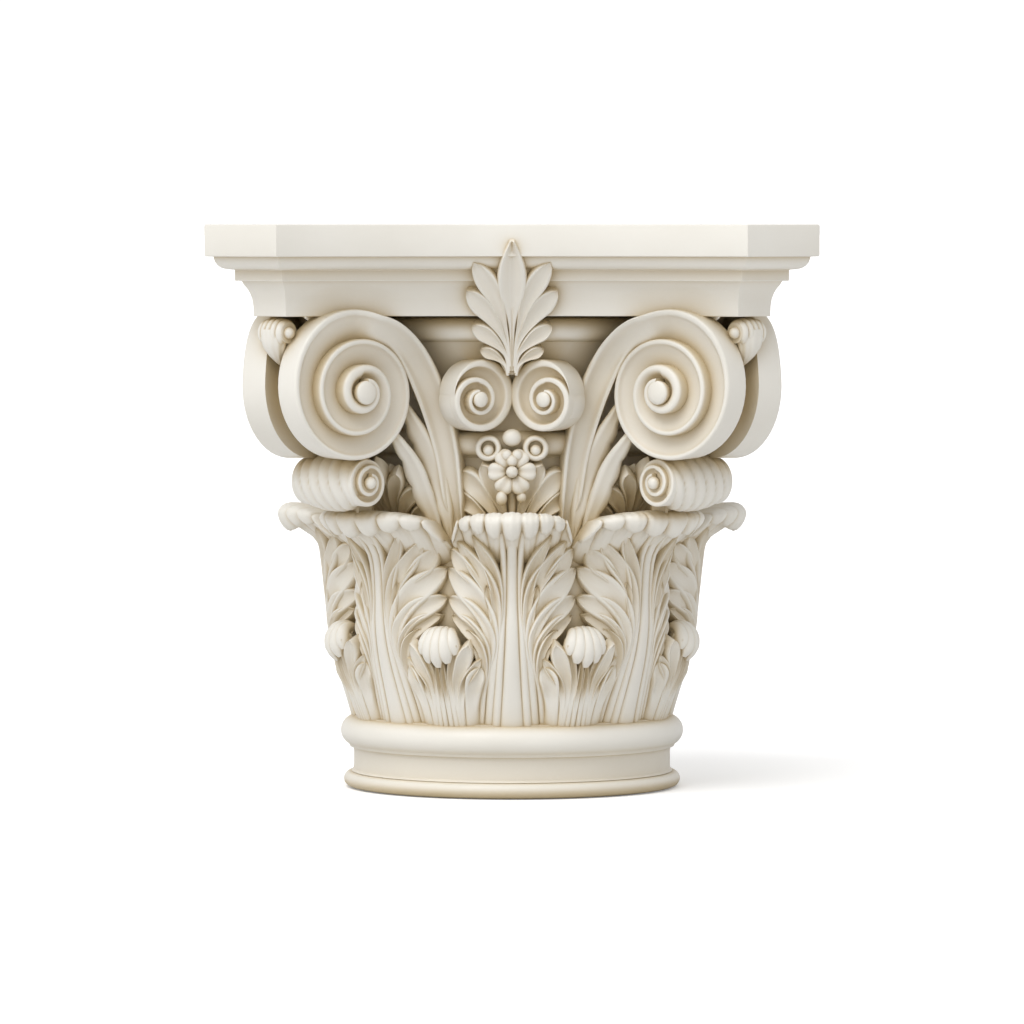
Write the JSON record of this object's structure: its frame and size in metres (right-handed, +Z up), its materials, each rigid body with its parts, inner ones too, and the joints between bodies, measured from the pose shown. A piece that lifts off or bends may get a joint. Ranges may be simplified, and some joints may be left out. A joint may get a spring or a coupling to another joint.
{
  "type": "corinthian capital",
  "caption": "Cast Corinthian capital: ringed round foot, acanthus-clad bell, paired corner scrolls, small face scrolls, palmettes and a hollow-sided square abacus.",
  "frame": {"origin": "middle of the flat underside of the foot, on the axis of the capital", "axes": "+Z up along the axis of the column, one of the four alike faces towards -Y, the corners on the diagonals"},
  "size_m": [0.528, 0.528, 0.5],
  "materials": {
    "plaster": "cream cast plaster with a satin wax and a tan glaze left in the hollows"
  },
  "bodies": {
    "root": {"capital": "plaster"}
  },
  "joints": []
}
